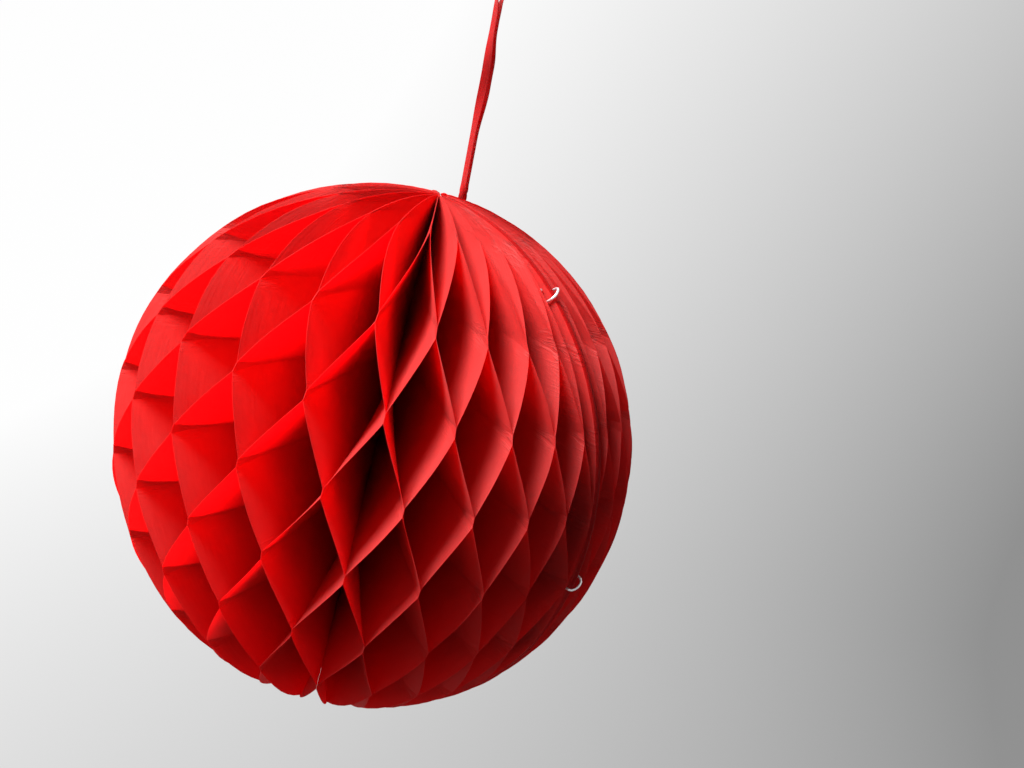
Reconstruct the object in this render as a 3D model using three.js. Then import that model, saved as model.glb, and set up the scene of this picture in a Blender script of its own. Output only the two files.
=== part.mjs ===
// A honeycomb paper lantern: half-round tissue leaves glued in alternate rows and opened right round
// into a ball, closed by two wire clips on its cover cards and hung on a ribbon loop.
// Millimetres, +Z up the ball's axis, origin at the ball's centre. Azimuth 0 faces -Y and grows towards +X.
import * as THREE from "three";

const { degToRad, lerp } = THREE.MathUtils;

// Gap left between pieces that touch on the real lantern
const clearance = 0.3;

// Tissue leaves
const ballRadius = 100;
const leafCount = 50;
const leafThickness = 0.6;
const coreRadius = 6;
const rowPitch = 26.7;
const glueWidth = 3.2;

// Leaves crowd together towards the seam: the narrowest step as a share of a full one,
// and how many leaves it takes to reach full width
const seamAzimuth = degToRad(52.5);
const seamShare = 0.45;
const crowdedLeaves = 11;

// Cover cards
const cardThickness = 0.6;
const cardSetback = 0.5;
const cardArcSegments = 40;

// Binding thread
const threadDiameter = 1;
const threadSides = 12;

// Wire clips
const wireDiameter = 0.9;
const wireSides = 8;
const clipLength = 20;
const clipWidth = 5.6;
const clipProtrusion = 2.5;
// Where each clip crosses the rim, and how far its outer end tips up
const clipStations = {
  upper_clip: { latitude: degToRad(54.5), tilt: degToRad(43) },
  lower_clip: { latitude: degToRad(-7.5), tilt: degToRad(-8) },
};
const clipSteps = 56;
const bendPoints = 7;

// Ribbon: a loop of two strands that rises out of one cell beside the pole
const ribbonWidth = 3;
const ribbonThickness = 0.5;
const ribbonAzimuth = degToRad(147);
const ribbonReach = 10.5;
const ribbonDepth = 3;
const ribbonLean = degToRad(6.8);
const ribbonSteps = 80;
// Route across the loop and up it, from one end to the other
const ribbonRoute = [
  [-0.7, 0], [-0.6, 10], [-0.6, 22], [-0.6, 34], [-0.6, 46], [-0.6, 58], [-0.6, 68], [-0.65, 76],
  [-1.1, 82], [-2.9, 88], [-5.4, 93], [-6.9, 98], [-6.3, 103], [-3.7, 106.6],
  [0, 108],
  [3.7, 106.6], [6.3, 103], [6.9, 98], [5.4, 93], [2.9, 88], [1.1, 82],
  [0.65, 76], [0.6, 68], [0.6, 58], [0.6, 46], [0.6, 34], [0.6, 22], [0.6, 10], [0.7, 0],
];

// Half the slot that holds both cards, and the outer face of the flat leaf beside it
const slotHalf = clearance / 2 + cardThickness + clearance;
const flatFace = slotHalf + leafThickness;
const wireOffset = flatFace + clearance + wireDiameter / 2;

const colours = {
  tissue: new THREE.MeshStandardMaterial({ color: 0xd3141a, roughness: 0.7, side: THREE.DoubleSide }),
  card: new THREE.MeshStandardMaterial({ color: 0xb8141a, roughness: 0.85 }),
  thread: new THREE.MeshStandardMaterial({ color: 0xe9dcd6, roughness: 0.8 }),
  steel: new THREE.MeshStandardMaterial({ color: 0xc9cbcf, roughness: 0.25, metalness: 1 }),
  ribbon: new THREE.MeshStandardMaterial({ color: 0xb70d17, roughness: 0.4 }),
};

function polar(radius, azimuth, z) {
  return new THREE.Vector3(radius * Math.sin(azimuth), -radius * Math.cos(azimuth), z);
}

const rimRadius = (z) => Math.sqrt(ballRadius ** 2 - z ** 2);

// Glue rows from the top down, evenly spaced about the equator
function glueRows() {
  const perHalf = Math.floor((ballRadius - glueWidth) / rowPitch + 0.5);
  return Array.from({ length: 2 * perHalf }, (_, row) => (perHalf - 0.5 - row) * rowPitch);
}

const rows = glueRows();

// Share of the way round, from one flat leaf to the other, of each glue face between two leaves
function glueFaceShares() {
  const openLeaves = leafCount - 2;
  const shares = [0, 0];
  for (let leaf = 0; leaf < openLeaves; leaf++) {
    const fromSeam = Math.min(leaf, openLeaves - 1 - leaf) + 0.5;
    const step = Math.min(1, lerp(seamShare, 1, fromSeam / crowdedLeaves));
    shares.push(shares.at(-1) + step);
  }
  const whole = shares.at(-1);
  return shares.map((share) => share / whole);
}

const shares = glueFaceShares();

function azimuthAt(share, radius) {
  const flatAngle = Math.asin(flatFace / radius);
  return seamAzimuth - flatAngle - (2 * Math.PI - 2 * flatAngle) * share;
}

function coreAzimuth(face) {
  const slotAngle = Math.asin(slotHalf / coreRadius);
  if (face === 0) return seamAzimuth - slotAngle;
  if (face === leafCount) return seamAzimuth + slotAngle - 2 * Math.PI;
  return azimuthAt(shares[face], coreRadius);
}

// A clip lies in the seam plane, its outer bend past the rim by the protrusion
function clipPlace([name, { latitude, tilt }]) {
  const rim = new THREE.Vector2(ballRadius * Math.cos(latitude), ballRadius * Math.sin(latitude));
  const along = new THREE.Vector2(Math.cos(tilt), Math.sin(tilt));
  const inner = rim.clone().addScaledVector(along, clipProtrusion - clipLength);
  const heights = [rim.y, inner.y];
  return { name, tilt, rim, inner, lowest: Math.min(...heights), highest: Math.max(...heights) };
}

const clipPlaces = Object.entries(clipStations).map(clipPlace);

// How far a clip's leg holds a leaf off the flat one beside it at a row's rim
function partingAt(row) {
  const clip = clipPlaces.find(({ lowest, highest }) => {
    const reach = glueWidth / 2 + clipWidth;
    return rows[row] > lowest - reach && rows[row] < highest + reach;
  });
  if (!clip) return 0;
  const wedge = (rimRadius(rows[row]) - coreRadius) / (clip.inner.x - coreRadius);
  return (wireDiameter + 2 * clearance) * wedge;
}

// Where a leaf stands at a row: its share of the way round, and its middle's offset from there in millimetres
function leafAtRow(leaf, row) {
  const half = leafThickness / 2;
  if (leaf === 0) return { share: 0, offset: half };
  if (leaf === leafCount - 1) return { share: 1, offset: -half };
  const gluedFace = (leaf - row) % 2 === 0 ? leaf : leaf + 1;
  const side = gluedFace === leaf ? -1 : 1;
  const besideFlat = gluedFace === 1 || gluedFace === leafCount - 1;
  const parting = besideFlat ? partingAt(row) : 0;
  return { share: shares[gluedFace], offset: side * (half + parting) };
}

function midway(a, b) {
  return { share: (a.share + b.share) / 2, offset: (a.offset + b.offset) / 2 };
}

// Levels from the top pole down: both edges of each glue row, and one midway in each open stretch
function leafLevels() {
  const coreTop = rimRadius(coreRadius);
  const latitudeOf = (z) => Math.asin(z / ballRadius);
  const between = (a, b) => ballRadius * Math.sin((latitudeOf(a) + latitudeOf(b)) / 2);
  const leafNumbers = Array.from({ length: leafCount }, (_, leaf) => leaf);
  const rowLeaves = rows.map((_, row) => leafNumbers.map((leaf) => leafAtRow(leaf, row)));
  const levels = [{ z: coreTop, pole: true }];
  rows.forEach((z, row) => {
    const top = z + glueWidth / 2;
    const above = row === 0 ? rowLeaves[0] : rowLeaves[row - 1];
    const leaves = rowLeaves[row].map((leaf, i) => midway(leaf, above[i]));
    levels.push({ z: between(levels.at(-1).z, top), leaves });
    levels.push({ z: top, leaves: rowLeaves[row] });
    levels.push({ z: z - glueWidth / 2, leaves: rowLeaves[row], opening: true });
  });
  levels.push({ z: between(levels.at(-1).z, -coreTop), leaves: rowLeaves.at(-1) });
  levels.push({ z: -coreTop, pole: true });
  return levels;
}

// The corner points of one level: the core, the bore, and each leaf's two rim corners
function levelPoints({ z, leaves, pole, opening }, boreRadius) {
  const faces = Array.from({ length: leafCount + 1 }, (_, face) => coreAzimuth(face));
  const core = faces.map((azimuth) => polar(coreRadius, azimuth, z));
  const bore = faces.map((azimuth) => polar(boreRadius, azimuth, z));
  if (pole) return { core, bore, near: core.slice(0, -1), far: core.slice(1) };
  const radius = rimRadius(z);
  const corner = ({ share, offset }, side) => {
    const shift = (offset + (side * leafThickness) / 2) / radius;
    return polar(radius, azimuthAt(share, radius) + shift, z);
  };
  return {
    core,
    bore,
    opening,
    near: leaves.map((leaf) => corner(leaf, 1)),
    far: leaves.map((leaf) => corner(leaf, -1)),
  };
}

const weldDistance = 1e-4;
const samePoint = (a, b) => a.distanceTo(b) < weldDistance;

// A closed surface gathered from four-cornered faces, which shrink to triangles where two corners meet
class Surface {
  positions = [];

  triangle(a, b, c) {
    if (samePoint(a, b) || samePoint(b, c) || samePoint(c, a)) return;
    for (const point of [a, b, c]) this.positions.push(point.x, point.y, point.z);
  }

  quad(a, b, c, d) {
    this.triangle(a, b, c);
    this.triangle(a, c, d);
  }

  geometry() {
    const made = new THREE.BufferGeometry();
    made.setAttribute("position", new THREE.Float32BufferAttribute(this.positions, 3));
    made.computeVertexNormals();
    return made;
  }
}

// The cell on one face is open between two levels unless its leaves touch at both
function cellIsOpen(face, upper, lower) {
  const touching = ({ near, far }) => samePoint(far[face - 1], near[face]);
  return !(touching(upper) && touching(lower));
}

// One side of a leaf between two levels, corners in order from the upper core one. Both sides of a leaf fold
// along the same diagonal: from the upper core corner where cells open below a row, else to the lower one
function addSide(surface, [a, b, c, d], opening) {
  if (opening) surface.quad(a, b, c, d);
  else surface.quad(b, c, d, a);
}

function addBand(surface, upper, lower) {
  const last = leafCount;
  for (let leaf = 0; leaf < leafCount; leaf++) {
    surface.quad(upper.near[leaf], upper.far[leaf], lower.far[leaf], lower.near[leaf]);
  }
  for (let face = 0; face <= last; face++) {
    const atSeam = face === 0 || face === last;
    if (!atSeam && !cellIsOpen(face, upper, lower)) continue;
    const [top, bottom] = [upper.core[face], lower.core[face]];
    if (face > 0) addSide(surface, [top, bottom, lower.far[face - 1], upper.far[face - 1]], upper.opening);
    if (face < last) addSide(surface, [top, upper.near[face], lower.near[face], bottom], upper.opening);
  }
  surface.quad(upper.core[last], upper.core[0], lower.core[0], lower.core[last]);
}

// The core's two ends and the thread's bore
function addBore(surface, top, bottom) {
  for (let face = 0; face <= leafCount; face++) {
    const next = (face + 1) % (leafCount + 1);
    surface.quad(top.core[face], top.bore[face], top.bore[next], top.core[next]);
    surface.quad(top.bore[face], bottom.bore[face], bottom.bore[next], top.bore[next]);
    surface.quad(bottom.bore[face], bottom.core[face], bottom.core[next], bottom.bore[next]);
  }
}

function honeycomb() {
  const surface = new Surface();
  const levels = leafLevels().map((level) => levelPoints(level, threadDiameter / 2 + clearance));
  for (let i = 1; i < levels.length; i++) addBand(surface, levels[i - 1], levels[i]);
  addBore(surface, levels[0], levels.at(-1));
  return surface.geometry();
}

// A half-round card, its straight edge just clear of the core
function card() {
  const radius = ballRadius - cardSetback;
  const edge = coreRadius + clearance;
  const halfAngle = Math.acos(edge / radius);
  const outline = new THREE.Shape();
  outline.absarc(0, 0, radius, -halfAngle, halfAngle, false);
  outline.closePath();
  return new THREE.ExtrudeGeometry(outline, {
    depth: cardThickness,
    bevelEnabled: false,
    curveSegments: cardArcSegments,
  });
}

function thread() {
  const length = 2 * rimRadius(coreRadius);
  const made = new THREE.CylinderGeometry(threadDiameter / 2, threadDiameter / 2, length, threadSides);
  return made.rotateX(Math.PI / 2);
}

function polygonShape(points) {
  return new THREE.Shape(points.map(([x, y]) => new THREE.Vector2(x, y)));
}

function roundSection(radius, sides) {
  const angles = Array.from({ length: sides }, (_, i) => (2 * Math.PI * i) / sides);
  return polygonShape(angles.map((angle) => [radius * Math.cos(angle), radius * Math.sin(angle)]));
}

function tube(section, points, steps) {
  const extrudePath = new THREE.CatmullRomCurve3(points);
  return new THREE.ExtrudeGeometry(section, { steps, extrudePath, bevelEnabled: false });
}

// Half a turn of wire about (x, y), from the lower leg to the upper one, as z goes from side to side
function wireBend(x, y, radius, outward, fromZ, toZ) {
  return Array.from({ length: bendPoints }, (_, i) => {
    const turn = (Math.PI * i) / (bendPoints - 1);
    const z = lerp(fromZ, toZ, (1 - Math.cos(turn)) / 2);
    return new THREE.Vector3(x + outward * radius * Math.sin(turn), y - radius * Math.cos(turn), z);
  });
}

// A clip along local X, measured from the rim: front legs at +Z, back legs at -Z,
// joined by the bend past the rim
function clip() {
  const wide = (clipWidth - wireDiameter) / 2;
  const middle = wide - wireDiameter / 2;
  const narrow = middle - wireDiameter / 2;
  const outerEnd = clipProtrusion - wireDiameter / 2 - middle;
  const innerEnd = clipProtrusion - clipLength + wireDiameter / 2 + wide;
  const backY = 2 * middle - wide - narrow;
  const points = [
    new THREE.Vector3(-wide, wide, wireOffset),
    ...wireBend(innerEnd, 0, wide, -1, wireOffset, wireOffset).reverse(),
    ...wireBend(outerEnd, middle - wide, middle, 1, wireOffset, -wireOffset),
    ...wireBend(innerEnd + wireDiameter, backY, narrow, -1, -wireOffset, -wireOffset).reverse(),
    new THREE.Vector3(-clipWidth, backY - narrow, -wireOffset),
  ];
  return tube(roundSection(wireDiameter / 2, wireSides), points, clipSteps);
}

function ribbon() {
  const half = ribbonWidth / 2;
  const flat = ribbonThickness / 2;
  const cut = flat / 2;
  const section = polygonShape([
    [half, -flat + cut], [half, flat - cut], [half - cut, flat], [-half + cut, flat],
    [-half, flat - cut], [-half, -flat + cut], [-half + cut, -flat], [half - cut, -flat],
  ]);
  const points = ribbonRoute.map(([across, up]) => new THREE.Vector3(0, across, up));
  return tube(section, points, ribbonSteps);
}

// The cell open to the top pole that lies nearest to an azimuth, as points on its core edge and at its mouth
function topCell(azimuth, z) {
  const radius = rimRadius(z);
  const turnsApart = (face) => Math.abs(Math.sin((azimuthAt(shares[face], radius) - azimuth) / 2));
  const openFaces = shares.map((_, face) => face).filter((face) => face % 2 === 1 && face < leafCount);
  const face = openFaces.reduce((best, each) => (turnsApart(each) < turnsApart(best) ? each : best));
  const mouth = (azimuthAt(shares[face - 1], radius) + azimuthAt(shares[face + 1], radius)) / 2;
  return { core: polar(coreRadius, coreAzimuth(face), z), mouth: polar(radius, mouth, z) };
}

const lantern = new THREE.Group();

function place(name, geometry, material, parent) {
  const mesh = new THREE.Mesh(geometry, material);
  mesh.name = name;
  parent.add(mesh);
  return mesh;
}

place("honeycomb_tissue", honeycomb(), colours.tissue, lantern);
place("binding_thread", thread(), colours.thread, lantern);

// The seam plane: local X outward, local Y up the axis, local Z towards the front leaf
const seam = new THREE.Group();
const outward = polar(1, seamAzimuth, 0);
const axis = new THREE.Vector3(0, 0, 1);
const seamBasis = new THREE.Matrix4().makeBasis(outward, axis, outward.clone().cross(axis));
seam.quaternion.setFromRotationMatrix(seamBasis);
lantern.add(seam);
place("front_card", card(), colours.card, seam).position.z = clearance / 2;
place("back_card", card(), colours.card, seam).position.z = -clearance / 2 - cardThickness;

for (const { name, tilt, rim } of clipPlaces) {
  const holder = new THREE.Group();
  holder.position.set(rim.x, rim.y, 0);
  holder.rotation.z = tilt;
  seam.add(holder);
  place(name, clip(), colours.steel, holder);
}

const ribbonCell = topCell(ribbonAzimuth, rows[0] + glueWidth / 2);
const cellWay = ribbonCell.mouth.clone().sub(ribbonCell.core).normalize();
const ribbonHolder = new THREE.Group();
ribbonHolder.position.copy(ribbonCell.core).addScaledVector(cellWay, ribbonReach);
ribbonHolder.position.z -= ribbonDepth;
ribbonHolder.rotation.set(0, -ribbonLean, Math.atan2(cellWay.y, cellWay.x), "ZYX");
lantern.add(ribbonHolder);
place("hanging_ribbon", ribbon(), colours.ribbon, ribbonHolder);

export default lantern;
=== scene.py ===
import bpy
import math
from mathutils import Matrix, Quaternion, Vector, noise


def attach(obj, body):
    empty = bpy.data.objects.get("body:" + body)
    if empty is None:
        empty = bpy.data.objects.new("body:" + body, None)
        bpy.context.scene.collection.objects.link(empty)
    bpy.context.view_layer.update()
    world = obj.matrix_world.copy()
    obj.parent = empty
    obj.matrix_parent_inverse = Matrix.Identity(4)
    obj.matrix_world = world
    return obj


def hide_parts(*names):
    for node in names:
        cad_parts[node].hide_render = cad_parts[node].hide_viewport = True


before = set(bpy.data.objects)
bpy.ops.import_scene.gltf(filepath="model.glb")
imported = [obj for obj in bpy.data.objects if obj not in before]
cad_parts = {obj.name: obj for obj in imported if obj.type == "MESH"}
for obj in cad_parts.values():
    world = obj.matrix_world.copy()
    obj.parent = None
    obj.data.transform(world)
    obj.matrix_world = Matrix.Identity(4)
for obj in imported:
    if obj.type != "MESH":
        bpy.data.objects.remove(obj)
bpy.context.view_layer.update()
scene = bpy.context.scene
scene.view_settings.view_transform = "Standard"
scene.cycles.max_bounces = 8
scene.cycles.diffuse_bounces = 5
scene.cycles.transmission_bounces = 6  # light goes on from leaf to leaf


# Modelling helpers
def deselectAll():
    if bpy.context.object and bpy.context.object.mode != "OBJECT":
        bpy.ops.object.mode_set(mode="OBJECT")
    bpy.ops.object.select_all(action="DESELECT")


def applyModifier(piece, kind, **settings):
    modifier = piece.modifiers.new(kind.title(), kind)
    for name, value in settings.items():
        setattr(modifier, name, value)
    bpy.context.view_layer.objects.active = piece
    bpy.ops.object.modifier_apply(modifier=modifier.name)


# Leaves edit mode on, with only the edges selected whose two ends are wanted
def selectEdges(piece, wanted):
    bpy.ops.object.mode_set(mode="EDIT")
    bpy.ops.mesh.select_mode(type="EDGE")
    bpy.ops.mesh.select_all(action="DESELECT")
    bpy.ops.object.mode_set(mode="OBJECT")
    for edge in piece.data.edges:
        edge.select = all(wanted(piece.data.vertices[v].co) for v in edge.vertices)
    bpy.ops.object.mode_set(mode="EDIT")


def mix(a, b, way):
    return a + (b - a) * way


def smoothStep(low, high, value):
    way = min(max((value - low) / (high - low), 0), 1)
    return way * way * (3 - 2 * way)


# Camera: the ball is left of and below the middle of the picture, and its axis leans to the right
camera = {
    "imageSize": (1024, 768),
    "focalPixels": 1200,
    "sensor": 36.0,
    "ballPixel": (380.4, 441.4),
    "distance": 0.477,
    "elevation": math.radians(19.5),
    "roll": math.radians(13.8),
    "nearest": 0.01,
}


def makeCamera():
    data = bpy.data.cameras.new("photoCamera")
    data.sensor_width = camera["sensor"]
    data.lens = camera["focalPixels"] * camera["sensor"] / camera["imageSize"][0]
    data.clip_start = camera["nearest"]
    view = bpy.data.objects.new("photoCamera", data)
    scene.collection.objects.link(view)
    towards = Vector((0, -math.cos(camera["elevation"]), math.sin(camera["elevation"])))
    view.location = towards * camera["distance"]
    look = (-towards).to_track_quat("-Z", "Y")
    roll = Quaternion((0, 0, 1), camera["roll"])
    across = camera["ballPixel"][0] - camera["imageSize"][0] / 2
    down = camera["ballPixel"][1] - camera["imageSize"][1] / 2
    aim = Vector((0, 0, -1)).rotation_difference(Vector((across, -down, -camera["focalPixels"])))
    view.rotation_mode = "QUATERNION"
    view.rotation_quaternion = look @ roll @ aim.inverted()
    scene.camera = view


makeCamera()
print("camera placed")


# Node helpers
def newMaterial(name):
    material = bpy.data.materials.new(name)
    material.use_nodes = True
    nodes = material.node_tree.nodes
    return material, nodes, material.node_tree.links, nodes["Principled BSDF"]


def addNode(nodes, kind, place, **settings):
    node = nodes.new(kind)
    node.location = place
    for name, value in settings.items():
        setattr(node, name, value)
    return node


def feed(links, socket, value):
    if isinstance(value, bpy.types.NodeSocket):
        links.new(value, socket)
    else:
        socket.default_value = value


def maths(nodes, links, operation, *values, clamp=False):
    node = addNode(nodes, "ShaderNodeMath", (0, 0), operation=operation, use_clamp=clamp)
    for socket, value in zip(node.inputs, values):
        feed(links, socket, value)
    return node.outputs["Value"]


# 0 at low and 1 at high, eased
def easeBetween(nodes, links, value, low, high):
    node = addNode(nodes, "ShaderNodeMapRange", (0, 0), interpolation_type="SMOOTHSTEP")
    links.new(value, node.inputs["Value"])
    node.inputs["From Min"].default_value = low
    node.inputs["From Max"].default_value = high
    return node.outputs["Result"]


def noiseOver(nodes, links, place, scale, detail=2.0, roughness=0.5):
    node = addNode(nodes, "ShaderNodeTexNoise", (0, 0))
    links.new(place, node.inputs["Vector"])
    feed(links, node.inputs["Scale"], scale)
    node.inputs["Detail"].default_value = detail
    node.inputs["Roughness"].default_value = roughness
    return node.outputs["Fac"]


def combine(nodes, links, *values):
    node = addNode(nodes, "ShaderNodeCombineXYZ", (0, 0))
    for socket, value in zip(node.inputs, values):
        feed(links, socket, value)
    return node.outputs["Vector"]


def mixColours(nodes, links, share, first, second):
    node = addNode(nodes, "ShaderNodeMix", (0, 0), data_type="RGBA")
    feed(links, node.inputs["Factor"], share)
    feed(links, node.inputs["A"], first)
    feed(links, node.inputs["B"], second)
    return node.outputs["Result"]


def bumpFrom(nodes, links, height, strength, distance):
    node = addNode(nodes, "ShaderNodeBump", (0, 0))
    node.inputs["Strength"].default_value = strength
    node.inputs["Distance"].default_value = distance
    links.new(height, node.inputs["Height"])
    return node.outputs["Normal"]


def blendSurface(nodes, links, share, first, second):
    node = addNode(nodes, "ShaderNodeMixShader", (300, 0))
    feed(links, node.inputs["Fac"], share)
    links.new(first, node.inputs[1])
    links.new(second, node.inputs[2])
    links.new(node.outputs["Shader"], nodes["Material Output"].inputs["Surface"])


def setMaterial(piece, material):
    piece.data.materials.clear()
    piece.data.materials.append(material)


# Ribbon: two strands that rise out of a cell beside the pole, turn to face the front and end in an eye
ribbon = {
    "base": (0.0083725, 0.0141787, 0.09205),
    "cellWay": (0.54952, 0.83548, 0),
    "lean": math.radians(6.8),
    "width": 0.003,
    "thickness": 0.0003,
    "length": 0.225,
    # Across the loop and up it, to the top of the eye
    "route": [
        (-0.0007, 0), (-0.0006, 0.010), (-0.0006, 0.022), (-0.0006, 0.034), (-0.0006, 0.046),
        (-0.0006, 0.058), (-0.0006, 0.068), (-0.00065, 0.076), (-0.0011, 0.082), (-0.0029, 0.088),
        (-0.0054, 0.093), (-0.0069, 0.098), (-0.0063, 0.103), (-0.0037, 0.1066), (0, 0.108),
    ],
    "stepsPerPoint": 9,
    "acrossSteps": 6,
    # Heights, and the degrees that the strands have turned there
    "turns": [
        (0.005, 0), (0.013, -108), (0.032, -108), (0.053, -62),
        (0.055, -62), (0.071, -110), (0.077, -112), (0.092, -180),
    ],
    "fan": 0.0012,
    "fanHeights": (0.030, 0.050, 0.057, 0.071),
    "sharpAngle": math.radians(40),
}


def routePoint(points, i, way):
    a, b, c, d = (points[min(max(k, 0), len(points) - 1)] for k in (i - 1, i, i + 1, i + 2))
    return (b * 2 + (c - a) * way + (a * 2 - b * 5 + c * 4 - d) * way**2
            + (b * 3 - a - c * 3 + d) * way**3) / 2


# Degrees that the pair of strands has turned, by height
def ribbonTurn(height):
    turn = 0
    for (low, start), (high, end) in zip(ribbon["turns"], ribbon["turns"][1:]):
        turn += (end - start) * smoothStep(low, high, height)
    return turn


# How far the second strand slides out from behind the first
def ribbonFan(height):
    low, full, ease, high = ribbon["fanHeights"]
    return ribbon["fan"] * (smoothStep(low, full, height) - smoothStep(ease, high, height))


def makeRibbon():
    out = Vector(ribbon["cellWay"]).normalized()
    side = Vector((0, 0, 1)).cross(out)
    lean = Matrix.Rotation(-ribbon["lean"], 3, side)
    out, up = lean @ out, lean @ Vector((0, 0, 1))
    half = [Vector((0, across, rise)) for across, rise in ribbon["route"]]
    points = half + [Vector((0, -p.y, p.z)) for p in reversed(half[:-1])]
    path, ways = [], []
    steps = ribbon["stepsPerPoint"]
    for i in range(len(points) - 1):
        last = i == len(points) - 2
        for step in range(steps + last):
            local = routePoint(points, i, step / steps)
            turn = math.radians(ribbonTurn(local.z))
            wide = out * math.cos(turn) + side * math.sin(turn)
            flat = side * math.cos(turn) - out * math.sin(turn)
            slide = ribbonFan(local.z) if i >= len(half) - 1 else 0
            path.append(Vector(ribbon["base"]) + flat * local.y + wide * slide + up * local.z)
            ways.append(wide)
    deselectAll()
    bpy.ops.mesh.primitive_grid_add(
        x_subdivisions=ribbon["acrossSteps"], y_subdivisions=len(path) - 1, size=2)
    piece = bpy.context.object
    piece.name = piece.data.name = "satinRibbon"
    for vertex in piece.data.vertices:
        u, v = vertex.co.x, round((vertex.co.y + 1) / 2 * (len(path) - 1))
        vertex.co = path[v] + ways[v] * (u * ribbon["width"] / 2)
    applyModifier(piece, "SOLIDIFY", thickness=ribbon["thickness"], offset=0)
    bpy.ops.object.shade_smooth_by_angle(angle=ribbon["sharpAngle"])
    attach(piece, "root")
    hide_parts("hanging_ribbon")
    return piece


satinRibbon = makeRibbon()
print("ribbon made")


# Tissue leaves: half-round sheets glued in alternate rows and opened right round
honeycomb = {
    "radius": 0.1,
    "leaves": 50,
    "rowPitch": 0.0267,
    "rowCount": 8,
    "glueWidth": 0.0032,
    "paper": 0.00006,
    "glueGap": 0.00004,
    "flatFace": 0.00165,
    "slotHalf": 0.00105,
    "innerRadius": 0.002,
    "poleGap": 0.0006,
    "seamAzimuth": math.radians(52.5),
    "seamShare": 0.45,
    "crowdedLeaves": 11,
    # The leaves part beside the upper clip, and two glue lines are tucked in over the clips
    "clipRow": 1,
    "frontParting": 0.0055,
    "backParting": 0.00254,
    "tucks": {(2, 0): 0.0014, (2, 4): 0.004},
    # Rings of vertices from the bound edge, 0, to the rim, 1
    "reachSteps": (0, 0.14, 0.28, 0.42, 0.55, 0.67, 0.78, 0.87, 0.94, 0.98, 0.9955, 1),
    "glueTaper": 0.25,
    "taperFrom": 0.9,
    "rimFold": 0.00008,
    # How uneven the paper is, and where in the noise each leaf and each kind is taken
    "stray": 0.0006,
    "bow": 0.0007,
    "rimWave": 0.004,
    "waveHeight": 0.07,
    "noiseSteps": (3.71, 5.37),
    "noiseStarts": (0.3, 0.7),
    "strayLayer": 0.5,
    "bowLayer": 3.5,
    "waveLayer": 8.5,
    "stretchSteps": 6,
    "capSteps": 4,
    "foldEase": 0.05,
    # Towards which side the ball swells, and by what share of its radius
    "swells": [((-0.85, 0.17, 0.48), 0.022), ((0.2, -0.1, -0.97), 0.024), ((0.97, 0.08, 0.22), -0.012)],
    "swellFocus": 3,
    "sheetMargin": 0.02,
    "rowShift": 4,
    "sharpAngle": math.radians(11),
}


def rimRadius(height):
    return math.sqrt(honeycomb["radius"] ** 2 - height**2)


def glueRows():
    middle = (honeycomb["rowCount"] - 1) / 2
    return [(middle - row) * honeycomb["rowPitch"] for row in range(honeycomb["rowCount"])]


def glueFaceShares():
    openLeaves = honeycomb["leaves"] - 2
    shares = [0, 0]
    for leaf in range(openLeaves):
        fromSeam = min(leaf, openLeaves - 1 - leaf) + 0.5
        step = min(1, mix(honeycomb["seamShare"], 1, fromSeam / honeycomb["crowdedLeaves"]))
        shares.append(shares[-1] + step)
    return [share / shares[-1] for share in shares]


def rimAzimuth(share, radius):
    flatAngle = math.asin(min(1, honeycomb["flatFace"] / radius))
    return honeycomb["seamAzimuth"] - flatAngle - (2 * math.pi - 2 * flatAngle) * share


# From -1 to 1, the same each time
def unevenness(leaf, along, layer):
    leafStep, alongStep = honeycomb["noiseSteps"]
    leafStart, alongStart = honeycomb["noiseStarts"]
    return noise.noise(Vector((leaf * leafStep + leafStart, along * alongStep + alongStart, layer)))


def leafAtRow(leaf, row, shares):
    last = honeycomb["leaves"] - 1
    half = (honeycomb["paper"] + honeycomb["glueGap"]) / 2
    if leaf == 0:
        return 0, half
    if leaf == last:
        return 1, -half
    gluedFace = leaf if (leaf - row) % 2 == 0 else leaf + 1
    side = -1 if gluedFace == leaf else 1
    offset = side * half
    if gluedFace in (1, last):
        if row == honeycomb["clipRow"]:
            offset += side * honeycomb["frontParting" if gluedFace == 1 else "backParting"]
    else:
        offset += honeycomb["stray"] * unevenness(gluedFace, row, honeycomb["strayLayer"])
        offset += honeycomb["tucks"].get((gluedFace, row), 0)
    return shares[gluedFace], offset


# Heights down the rim, each with the rows above and below it, the way between them,
# and which edge of a glue row it is
def rimStations(rows):
    radius, glue = honeycomb["radius"], honeycomb["glueWidth"] / 2
    cap = math.acos((honeycomb["innerRadius"] + honeycomb["poleGap"]) / radius)
    stations = []

    def stretch(fromAngle, toAngle, above, below, steps):
        for step in range(1, steps):
            way = step / steps
            stations.append((radius * math.sin(mix(fromAngle, toAngle, way)), above, below, way, 0))

    angle = cap
    stations.append((radius * math.sin(cap), 0, 0, 0, 0))
    for row, height in enumerate(rows):
        top = math.asin((height + glue) / radius)
        steps = honeycomb["stretchSteps"] if row else honeycomb["capSteps"]
        stretch(angle, top, max(row - 1, 0), row, steps)
        stations += [(height + edge * glue, row, row, 0, edge) for edge in (1, 0, -1)]
        angle = math.asin((height - glue) / radius)
    last = len(rows) - 1
    stretch(angle, -cap, last, last, honeycomb["capSteps"])
    stations.append((-radius * math.sin(cap), last, last, 0, 0))
    return stations


# Paper never opens quite round
def outOfRound(way):
    swell = 1
    for towards, amount in honeycomb["swells"]:
        swell += amount * max(0, way.dot(Vector(towards))) ** honeycomb["swellFocus"]
    return swell


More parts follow.
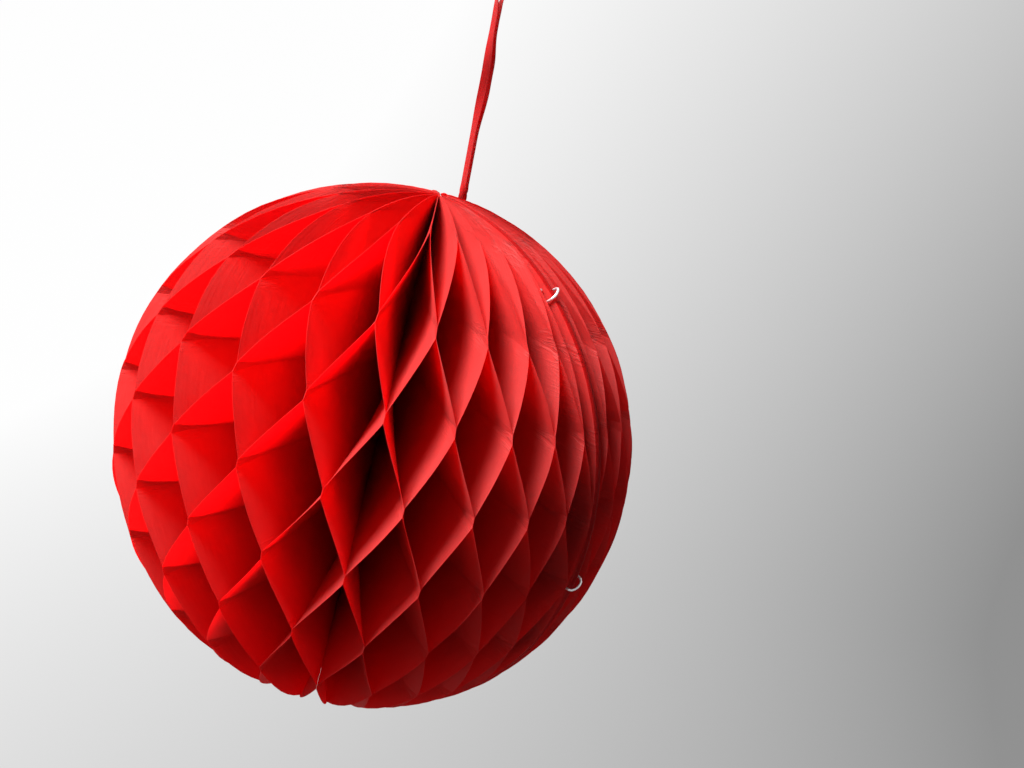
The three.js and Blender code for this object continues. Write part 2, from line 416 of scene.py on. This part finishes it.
# The first and last leaf are folded over the cards' edges, so that the seam is closed
def foldedRim(leaf, rim):
    along = Vector((math.sin(honeycomb["seamAzimuth"]), -math.cos(honeycomb["seamAzimuth"]), 0))
    side = Vector((0, 0, 1)).cross(along) * (-1 if leaf == 0 else 1)
    flat = math.hypot(rim.x, rim.y)
    return along * flat + side * honeycomb["rimFold"] + Vector((0, 0, rim.z))


def leafPoint(leaf, station, reach, shares):
    height, above, below, way, edge = station
    eased = mix(way, smoothStep(0, 1, way), honeycomb["foldEase"])
    shareA, offsetA = leafAtRow(leaf, above, shares)
    shareB, offsetB = leafAtRow(leaf, below, shares)
    radius = rimRadius(height)
    azimuth = rimAzimuth(mix(shareA, shareB, eased), radius)
    azimuth += mix(offsetA, offsetB, eased) / radius
    flatLeaf = leaf in (0, honeycomb["leaves"] - 1)
    if above != below and not flatLeaf:
        bow = honeycomb["bow"] * unevenness(leaf, above, honeycomb["bowLayer"])
        azimuth += bow * math.sin(math.pi * way) / radius
    rim = Vector((radius * math.sin(azimuth), -radius * math.cos(azimuth), height))
    wave = unevenness(leaf, height / honeycomb["waveHeight"], honeycomb["waveLayer"])
    swell = outOfRound(rim.normalized()) + honeycomb["rimWave"] * wave
    rim *= max(swell, 1) if flatLeaf else swell
    if flatLeaf and reach == 1:
        rim = foldedRim(leaf, rim)
    inner = honeycomb["innerRadius"]
    slotAngle = math.asin(honeycomb["slotHalf"] / inner)
    turn = honeycomb["seamAzimuth"] - slotAngle
    turn -= (2 * math.pi - 2 * slotAngle) * (leaf + 0.5) / honeycomb["leaves"]
    bound = Vector((inner * math.sin(turn), -inner * math.cos(turn), rim.z))
    point = bound.lerp(rim, reach)
    narrowing = (1 - honeycomb["glueTaper"]) * (1 - smoothStep(honeycomb["taperFrom"], 1, reach))
    point.z -= edge * honeycomb["glueWidth"] / 2 * narrowing
    return point


# On the UV map each sheet keeps its own flat place: leaf number and reach across, glue rows along
def sheetPlace(leaf, reach, height):
    margin = honeycomb["sheetMargin"]
    across = leaf + margin + (1 - 2 * margin) * reach
    return across, height / honeycomb["rowPitch"] + honeycomb["rowShift"]


def makeHoneycomb():
    rows, shares = glueRows(), glueFaceShares()
    stations = rimStations(rows)
    reaches = honeycomb["reachSteps"]
    radial, down = len(reaches) - 1, len(stations) - 1
    deselectAll()
    bpy.ops.mesh.primitive_grid_add(x_subdivisions=radial, y_subdivisions=down, size=2)
    first = bpy.context.object
    grid = []
    for vertex in first.data.vertices:
        grid.append((round((vertex.co.x + 1) / 2 * radial), round((1 - vertex.co.y) / 2 * down)))
    leaves = [first]
    while len(leaves) < honeycomb["leaves"]:
        copy = first.copy()
        copy.data = first.data.copy()
        scene.collection.objects.link(copy)
        leaves.append(copy)
    for leaf, sheet in enumerate(leaves):
        for vertex, (i, j) in zip(sheet.data.vertices, grid):
            vertex.co = leafPoint(leaf, stations[j], reaches[i], shares)
        flat = sheet.data.uv_layers.active.data
        for loop in sheet.data.loops:
            i, j = grid[loop.vertex_index]
            flat[loop.index].uv = sheetPlace(leaf, reaches[i], stations[j][0])
        sheet.select_set(True)
    bpy.context.view_layer.objects.active = first
    bpy.ops.object.join()
    piece = bpy.context.object
    piece.name = piece.data.name = "tissueHoneycomb"
    applyModifier(piece, "SOLIDIFY", thickness=honeycomb["paper"], offset=0)
    bpy.ops.object.shade_smooth_by_angle(angle=honeycomb["sharpAngle"])
    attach(piece, "root")
    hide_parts("honeycomb_tissue")
    return piece


tissueHoneycomb = makeHoneycomb()
print("tissue leaves made:", len(tissueHoneycomb.data.polygons), "faces")


# Finishes
# Fine grain and slow clouds of fibre, shared by paper, card, thread and ribbon
fibre = {
    "grainDetail": 5,
    "grainRoughness": 0.65,
    "cloudScale": 0.09,
    "cloudDetail": 3,
    "cloudRoughness": 0.55,
}


def makeFibreGrain():
    group = bpy.data.node_groups.new("fibreGrain", "ShaderNodeTree")
    group.interface.new_socket("Place", in_out="INPUT", socket_type="NodeSocketVector")
    group.interface.new_socket("Scale", in_out="INPUT", socket_type="NodeSocketFloat")
    group.interface.new_socket("Grain", in_out="OUTPUT", socket_type="NodeSocketFloat")
    group.interface.new_socket("Cloud", in_out="OUTPUT", socket_type="NodeSocketFloat")
    nodes, links = group.nodes, group.links
    given = addNode(nodes, "NodeGroupInput", (-600, 0))
    made = addNode(nodes, "NodeGroupOutput", (400, 0))
    place, scale = given.outputs["Place"], given.outputs["Scale"]
    slow = maths(nodes, links, "MULTIPLY", scale, fibre["cloudScale"])
    grain = noiseOver(nodes, links, place, scale, fibre["grainDetail"], fibre["grainRoughness"])
    cloud = noiseOver(nodes, links, place, slow, fibre["cloudDetail"], fibre["cloudRoughness"])
    links.new(grain, made.inputs["Grain"])
    links.new(cloud, made.inputs["Cloud"])
    return group


fibreGrain = makeFibreGrain()


def addFibre(nodes, links, place, scale):
    node = addNode(nodes, "ShaderNodeGroup", (-700, 300), node_tree=fibreGrain)
    links.new(place, node.inputs["Place"])
    node.inputs["Scale"].default_value = scale
    return node.outputs["Grain"], node.outputs["Cloud"]


tissueFinish = {
    "red": (0.88, 0.097, 0.091, 1),
    "paleRed": (0.96, 0.2, 0.187, 1),
    "throughRed": (1.0, 0.02, 0.05, 1),
    # Painted shade colour for the fold over the cards' edges
    "foldShadeRed": (0.6, 0.012, 0.013, 1),
    "through": 0.75,
    "roughness": 0.45,
    "roughGrain": 0.2,
    "fibreScale": 900,
    "streaksAcross": 60,
    "streaksPerRow": 2.2,
    "streakDetail": 3,
    "creasesAcross": 7.0,
    "creasesPerRow": 20,
    "creaseWidth": 0.09,
    "leafStep": 7.3,
    # Where creases are: in rows from a glue row, in reach, in leaves from the middle one
    "besideRow": (0.26, 0.03),
    "besideRim": (0.66, 0.97),
    "tightLeaves": (19, 23),
    "tightCreases": 0.45,
    "creasePatches": (0.38, 0.62),
    "foldFrom": (0.975, 0.9765),
    "paleCrease": 0.55,
    "paleCloud": 0.6,
    "relief": 0.55,
    "reliefHeight": 0.0003,
    "streakRelief": 0.8,
    "grainRelief": 0.25,
    "creaseRelief": 0.9,
    "cockle": 2.0,
    "gloss": 0.4,
    "sheen": 0.12,
    "sheenRoughness": 0.4,
    "sheenTint": (1.0, 0.7, 0.65, 1),
}


def tissueMaterial():
    material, nodes, links, shader = newMaterial("redTissue")
    finish = tissueFinish
    place = addNode(nodes, "ShaderNodeTexCoord", (-1500, 0))
    sheet = addNode(nodes, "ShaderNodeSeparateXYZ", (-1300, 0))
    links.new(place.outputs["UV"], sheet.inputs["Vector"])
    across, along = sheet.outputs["X"], sheet.outputs["Y"]
    leaf = maths(nodes, links, "FLOOR", across)
    reach = maths(nodes, links, "FRACT", across)
    rowWay = maths(nodes, links, "SUBTRACT", maths(nodes, links, "FRACT", along), 0.5)
    fromRow = maths(nodes, links, "ABSOLUTE", rowWay)
    nearRow = easeBetween(nodes, links, fromRow, *finish["besideRow"])
    nearRim = easeBetween(nodes, links, reach, *finish["besideRim"])
    middleLeaf = (honeycomb["leaves"] - 1) / 2
    fromBack = maths(nodes, links, "ABSOLUTE", maths(nodes, links, "SUBTRACT", leaf, middleLeaf))
    tight = easeBetween(nodes, links, fromBack, *finish["tightLeaves"])
    leafSpot = maths(nodes, links, "MULTIPLY", leaf, finish["leafStep"])

    # Streaks run the height of a leaf, creases run in from the glue rows
    streakAcross = maths(nodes, links, "MULTIPLY", across, finish["streaksAcross"])
    streakAlong = maths(nodes, links, "MULTIPLY", along, finish["streaksPerRow"])
    streakPlace = combine(nodes, links, streakAcross, streakAlong, leafSpot)
    streak = noiseOver(nodes, links, streakPlace, 1.0, finish["streakDetail"])
    creaseAcross = maths(nodes, links, "MULTIPLY", across, finish["creasesAcross"])
    creaseAlong = maths(nodes, links, "MULTIPLY", along, finish["creasesPerRow"])
    fold = noiseOver(nodes, links, combine(nodes, links, creaseAcross, creaseAlong, leafSpot), 1.0)
    fromFold = maths(nodes, links, "ABSOLUTE", maths(nodes, links, "SUBTRACT", fold, 0.5))
    ridge = easeBetween(nodes, links, fromFold, finish["creaseWidth"], 0.0)
    atNodes = maths(nodes, links, "MULTIPLY", nearRow, nearRim)
    grain, cloud = addFibre(nodes, links, place.outputs["Object"], finish["fibreScale"])
    creased = maths(nodes, links, "MULTIPLY_ADD", tight, finish["tightCreases"], atNodes, clamp=True)
    patchy = easeBetween(nodes, links, cloud, *finish["creasePatches"])
    crease = maths(nodes, links, "MULTIPLY", maths(nodes, links, "MULTIPLY", ridge, creased), patchy)

    paleCloud = maths(nodes, links, "MULTIPLY", cloud, finish["paleCloud"])
    pale = maths(nodes, links, "MULTIPLY_ADD", crease, finish["paleCrease"], paleCloud, clamp=True)
    paper = mixColours(nodes, links, pale, finish["red"], finish["paleRed"])
    # Painted shade: the fold over the cards' edges is painted a darker, deeper red, standing in for the
    # shadow line along the seam
    coverLeaf = maths(nodes, links, "GREATER_THAN", fromBack, middleLeaf - 0.5)
    overCard = easeBetween(nodes, links, reach, *finish["foldFrom"])
    paintedShadeOnFold = maths(nodes, links, "MULTIPLY", coverLeaf, overCard)
    links.new(mixColours(nodes, links, paintedShadeOnFold, paper, finish["foldShadeRed"]), shader.inputs["Base Color"])

    relief = maths(nodes, links, "MULTIPLY", grain, finish["grainRelief"])
    relief = maths(nodes, links, "MULTIPLY_ADD", streak, finish["streakRelief"], relief)
    relief = maths(nodes, links, "MULTIPLY_ADD", crease, finish["creaseRelief"], relief)
    relief = maths(nodes, links, "MULTIPLY_ADD", cloud, finish["cockle"], relief)
    normal = bumpFrom(nodes, links, relief, finish["relief"], finish["reliefHeight"])
    links.new(normal, shader.inputs["Normal"])
    rough = maths(nodes, links, "MULTIPLY_ADD", grain, finish["roughGrain"], finish["roughness"])
    links.new(rough, shader.inputs["Roughness"])
    shader.inputs["Specular IOR Level"].default_value = finish["gloss"]
    shader.inputs["Sheen Weight"].default_value = finish["sheen"]
    shader.inputs["Sheen Roughness"].default_value = finish["sheenRoughness"]
    shader.inputs["Sheen Tint"].default_value = finish["sheenTint"]
    through = addNode(nodes, "ShaderNodeBsdfTranslucent", (-200, -300))
    through.inputs["Color"].default_value = finish["throughRed"]
    links.new(normal, through.inputs["Normal"])
    blendSurface(nodes, links, finish["through"], shader.outputs["BSDF"], through.outputs["BSDF"])
    return material


satinFinish = {
    "red": (0.62, 0.012, 0.016, 1),
    "paleRed": (0.86, 0.045, 0.045, 1),
    "edgeRed": (0.42, 0.006, 0.01, 1),
    "throughRed": (1.0, 0.035, 0.04, 1),
    "through": 0.55,
    "threadsAcross": 44,
    "threadsAlong": 60.0,
    "threadDetail": 3,
    "threadRoughness": 0.6,
    "paleThread": 0.6,
    "paleCloud": 0.4,
    "selvedge": (0.4, 0.47),
    "selvedgeShare": 0.7,
    "selvedgeRelief": 0.8,
    "relief": 0.5,
    "reliefHeight": 0.00012,
    "fibreScale": 1800,
    "roughness": 0.26,
    "roughGrain": 0.2,
    "sheen": 0.2,
    "sheenTint": (1.0, 0.5, 0.45, 1),
}


def satinMaterial():
    material, nodes, links, shader = newMaterial("redSatin")
    finish = satinFinish
    place = addNode(nodes, "ShaderNodeTexCoord", (-1500, 0))
    strip = addNode(nodes, "ShaderNodeSeparateXYZ", (-1300, 0))
    links.new(place.outputs["UV"], strip.inputs["Vector"])
    across, along = strip.outputs["X"], strip.outputs["Y"]
    threadAcross = maths(nodes, links, "MULTIPLY", across, finish["threadsAcross"])
    threadAlong = maths(nodes, links, "MULTIPLY", along, finish["threadsAlong"])
    threadPlace = combine(nodes, links, threadAcross, threadAlong, 0.0)
    threads = noiseOver(nodes, links, threadPlace, 1.0, finish["threadDetail"], finish["threadRoughness"])
    grain, cloud = addFibre(nodes, links, place.outputs["Object"], finish["fibreScale"])
    fromMiddle = maths(nodes, links, "ABSOLUTE", maths(nodes, links, "SUBTRACT", across, 0.5))
    selvedge = easeBetween(nodes, links, fromMiddle, *finish["selvedge"])
    paleCloud = maths(nodes, links, "MULTIPLY", cloud, finish["paleCloud"])
    pale = maths(nodes, links, "MULTIPLY_ADD", threads, finish["paleThread"], paleCloud)
    satin = mixColours(nodes, links, pale, finish["red"], finish["paleRed"])
    edge = maths(nodes, links, "MULTIPLY", selvedge, finish["selvedgeShare"])
    links.new(mixColours(nodes, links, edge, satin, finish["edgeRed"]), shader.inputs["Base Color"])
    relief = maths(nodes, links, "MULTIPLY_ADD", selvedge, finish["selvedgeRelief"], threads)
    normal = bumpFrom(nodes, links, relief, finish["relief"], finish["reliefHeight"])
    links.new(normal, shader.inputs["Normal"])
    rough = maths(nodes, links, "MULTIPLY_ADD", grain, finish["roughGrain"], finish["roughness"])
    links.new(rough, shader.inputs["Roughness"])
    shader.inputs["Sheen Weight"].default_value = finish["sheen"]
    shader.inputs["Sheen Tint"].default_value = finish["sheenTint"]
    through = addNode(nodes, "ShaderNodeBsdfTranslucent", (-200, -300))
    through.inputs["Color"].default_value = finish["throughRed"]
    blendSurface(nodes, links, finish["through"], shader.outputs["BSDF"], through.outputs["BSDF"])
    return material


cardFinish = {
    "red": (0.5, 0.01, 0.013, 1),
    "paleRed": (0.62, 0.022, 0.024, 1),
    "fibreScale": 700,
    "paleGrain": 0.5,
    "paleCloud": 0.5,
    "relief": 0.4,
    "reliefHeight": 0.00015,
    "roughness": 0.75,
    "roughGrain": 0.2,
    "gloss": 0.05,
}


def cardMaterial():
    material, nodes, links, shader = newMaterial("redCard")
    finish = cardFinish
    place = addNode(nodes, "ShaderNodeTexCoord", (-1100, 0))
    grain, cloud = addFibre(nodes, links, place.outputs["Object"], finish["fibreScale"])
    paleCloud = maths(nodes, links, "MULTIPLY", cloud, finish["paleCloud"])
    pale = maths(nodes, links, "MULTIPLY_ADD", grain, finish["paleGrain"], paleCloud)
    card = mixColours(nodes, links, pale, finish["red"], finish["paleRed"])
    links.new(card, shader.inputs["Base Color"])
    normal = bumpFrom(nodes, links, grain, finish["relief"], finish["reliefHeight"])
    links.new(normal, shader.inputs["Normal"])
    rough = maths(nodes, links, "MULTIPLY_ADD", grain, finish["roughGrain"], finish["roughness"])
    links.new(rough, shader.inputs["Roughness"])
    shader.inputs["Specular IOR Level"].default_value = finish["gloss"]
    return material


wireFinish = {
    "bright": (0.97, 0.97, 0.97, 1),
    "dull": (0.84, 0.84, 0.85, 1),
    "metal": 0.75,
    "drawScale": 2400,
    "drawStretch": (1.0, 1.0, 0.2),
    "drawDetail": 3,
    "patchScale": 260.0,
    "relief": 0.15,
    "reliefHeight": 0.00004,
    "roughness": 0.28,
    "roughScratch": 0.25,
}


def wireMaterial():
    material, nodes, links, shader = newMaterial("brightWire")
    finish = wireFinish
    place = addNode(nodes, "ShaderNodeTexCoord", (-1100, 0))
    drawn = addNode(nodes, "ShaderNodeMapping", (-900, 0))
    drawn.inputs["Scale"].default_value = finish["drawStretch"]
    links.new(place.outputs["Object"], drawn.inputs["Vector"])
    scratch = noiseOver(nodes, links, drawn.outputs["Vector"], finish["drawScale"], finish["drawDetail"])
    patch = noiseOver(nodes, links, place.outputs["Object"], finish["patchScale"])
    wire = mixColours(nodes, links, patch, finish["bright"], finish["dull"])
    links.new(wire, shader.inputs["Base Color"])
    rough = maths(nodes, links, "MULTIPLY_ADD", scratch, finish["roughScratch"], finish["roughness"])
    links.new(rough, shader.inputs["Roughness"])
    normal = bumpFrom(nodes, links, scratch, finish["relief"], finish["reliefHeight"])
    links.new(normal, shader.inputs["Normal"])
    shader.inputs["Metallic"].default_value = finish["metal"]
    return material


threadFinish = {
    "pale": (0.86, 0.8, 0.76, 1),
    "shade": (0.62, 0.5, 0.46, 1),
    "twistScale": 520,
    "twistSway": 0.6,
    "twistShare": 0.6,
    "grainShare": 0.4,
    "fibreScale": 3000,
    "relief": 0.6,
    "reliefHeight": 0.0002,
    "roughness": 0.7,
    "roughCloud": 0.2,
}


def threadMaterial():
    material, nodes, links, shader = newMaterial("cottonThread")
    finish = threadFinish
    place = addNode(nodes, "ShaderNodeTexCoord", (-1100, 0))
    twist = addNode(nodes, "ShaderNodeTexWave", (-700, 0), wave_type="BANDS", bands_direction="DIAGONAL")
    twist.inputs["Scale"].default_value = finish["twistScale"]
    twist.inputs["Distortion"].default_value = finish["twistSway"]
    links.new(place.outputs["Object"], twist.inputs["Vector"])
    grain, cloud = addFibre(nodes, links, place.outputs["Object"], finish["fibreScale"])
    twisted = maths(nodes, links, "MULTIPLY", twist.outputs["Fac"], finish["twistShare"])
    ply = maths(nodes, links, "MULTIPLY_ADD", grain, finish["grainShare"], twisted)
    cotton = mixColours(nodes, links, ply, finish["shade"], finish["pale"])
    links.new(cotton, shader.inputs["Base Color"])
    normal = bumpFrom(nodes, links, ply, finish["relief"], finish["reliefHeight"])
    links.new(normal, shader.inputs["Normal"])
    rough = maths(nodes, links, "MULTIPLY_ADD", cloud, finish["roughCloud"], finish["roughness"])
    links.new(rough, shader.inputs["Roughness"])
    return material


setMaterial(tissueHoneycomb, tissueMaterial())
setMaterial(satinRibbon, satinMaterial())
redCard, brightWire, cottonThread = cardMaterial(), wireMaterial(), threadMaterial()
for name, material in (("front_card", redCard), ("back_card", redCard), ("upper_clip", brightWire),
                       ("lower_clip", brightWire), ("binding_thread", cottonThread)):
    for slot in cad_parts[name].material_slots:
        slot.material = material
print("finishes set")


# Stage: a pale floor that sweeps up into a wall, painted brighter on the left: painted light standing in
# for the window's falloff
stage = {
    "floorHeight": -0.42,
    "wallDistance": 1.4,
    "reach": 3.5,
    "rise": 2.4,
    "bend": 0.5,
    "bendSegments": 24,
    # The painted light that is seen, by place, and the darker grey that the light meets
    "base": 0.685,
    "perX": -0.61,
    "perRise": 0.23,
    "brightest": 1.08,
    "darkest": 0.3,
    "shown": 0.9,
    "grey": 0.14,
    "roughness": 0.9,
}


def makeStage():
    deselectAll()
    bpy.ops.mesh.primitive_plane_add(size=2)
    sweep = bpy.context.object
    sweep.name = "paleSweep"
    for vertex in sweep.data.vertices:
        depth = stage["wallDistance"] if vertex.co.y > 0 else -stage["reach"]
        vertex.co = (vertex.co.x * stage["reach"], depth, stage["floorHeight"])
    selectEdges(sweep, lambda end: end.y > 0)
    bpy.ops.mesh.extrude_region_move(TRANSFORM_OT_translate={"value": (0, 0, stage["rise"])})
    selectEdges(sweep, lambda end: end.y > 0 and end.z < 0)
    bpy.ops.mesh.bevel(offset=stage["bend"], segments=stage["bendSegments"], affect="EDGES")
    bpy.ops.object.mode_set(mode="OBJECT")
    bpy.ops.object.shade_smooth()
    return sweep


def stageMaterial():
    material, nodes, links, shader = newMaterial("paleStage")
    place = addNode(nodes, "ShaderNodeTexCoord", (-1100, 0))
    parts = addNode(nodes, "ShaderNodeSeparateXYZ", (-900, 0))
    links.new(place.outputs["Object"], parts.inputs["Vector"])
    rise = maths(nodes, links, "ADD", parts.outputs["Y"], parts.outputs["Z"])
    paintedLightTone = maths(nodes, links, "MULTIPLY_ADD", rise, stage["perRise"], stage["base"])
    paintedLightTone = maths(nodes, links, "MULTIPLY_ADD", parts.outputs["X"], stage["perX"], paintedLightTone)
    paintedLightTone = maths(nodes, links, "MINIMUM", paintedLightTone, stage["brightest"])
    paintedLightTone = maths(nodes, links, "MAXIMUM", paintedLightTone, stage["darkest"])
    # Painted light: the tone glows for camera, glossy and transmission rays, so its reflections are
    # painted too
    shown = addNode(nodes, "ShaderNodeEmission", (0, -200))
    links.new(paintedLightTone, shown.inputs["Color"])
    shader.inputs["Base Color"].default_value = (*[stage["grey"]] * 3, 1)
    shader.inputs["Roughness"].default_value = stage["roughness"]
    ray = addNode(nodes, "ShaderNodeLightPath", (-300, 400))
    seen = maths(nodes, links, "ADD", ray.outputs["Is Camera Ray"], ray.outputs["Is Glossy Ray"])
    seen = maths(nodes, links, "ADD", seen, ray.outputs["Is Transmission Ray"], clamp=True)
    share = maths(nodes, links, "MULTIPLY", seen, stage["shown"])
    blendSurface(nodes, links, share, shader.outputs["BSDF"], shown.outputs["Emission"])
    return material


setMaterial(makeStage(), stageMaterial())
print("stage made")


# Light: a large soft window high on the left, and the pale room
light = {
    "windowFrom": (-1.07, -0.34, 1.5),
    "windowSize": 0.85,
    "windowPower": 90,
    "brightSide": (-0.65, -0.3, 0.7),
    "brightLevel": 0.12,
    "dimLevel": 0.0,
    "brightFrom": -0.2,
    "brightTo": 0.8,
    "seenLevel": 0.75,
}


def makeWindow():
    data = bpy.data.lights.new("leftWindow", "AREA")
    data.size = light["windowSize"]
    data.energy = light["windowPower"]
    window = bpy.data.objects.new("leftWindow", data)
    scene.collection.objects.link(window)
    window.location = light["windowFrom"]
    window.rotation_mode = "QUATERNION"
    window.rotation_quaternion = (-window.location).to_track_quat("-Z", "Y")


def makeRoom():
    world = bpy.data.worlds.new("paleRoom")
    world.use_nodes = True
    nodes, links = world.node_tree.nodes, world.node_tree.links
    way = addNode(nodes, "ShaderNodeTexCoord", (-800, 0))
    brightSide = addNode(nodes, "ShaderNodeVectorMath", (-600, 0), operation="DOT_PRODUCT")
    brightSide.inputs[1].default_value = light["brightSide"]
    links.new(way.outputs["Generated"], brightSide.inputs[0])
    level = addNode(nodes, "ShaderNodeMapRange", (-400, 0), interpolation_type="SMOOTHSTEP")
    level.inputs["From Min"].default_value = light["brightFrom"]
    level.inputs["From Max"].default_value = light["brightTo"]
    level.inputs["To Min"].default_value = light["dimLevel"]
    level.inputs["To Max"].default_value = light["brightLevel"]
    links.new(brightSide.outputs["Value"], level.inputs["Value"])
    # Paper lets light through as transmission rays, so only what is seen or mirrored gets the pale room;
    # what is mirrored is a painted reflection, brighter than the light the room gives
    ray = addNode(nodes, "ShaderNodeLightPath", (-400, 300))
    seen = maths(
        nodes, links, "ADD", ray.outputs["Is Camera Ray"], ray.outputs["Is Glossy Ray"], clamp=True)
    seenMore = maths(nodes, links, "SUBTRACT", light["seenLevel"], level.outputs["Result"])
    strength = maths(nodes, links, "MULTIPLY_ADD", seen, seenMore, level.outputs["Result"])
    background = nodes["Background"]
    background.inputs["Color"].default_value = (1, 1, 1, 1)
    links.new(strength, background.inputs["Strength"])
    scene.world = world
    world.cycles.sampling_method = "NONE"  # too dim to be worth rays of its own


makeWindow()
makeRoom()
print("light set")

bpy.context.view_layer.update()
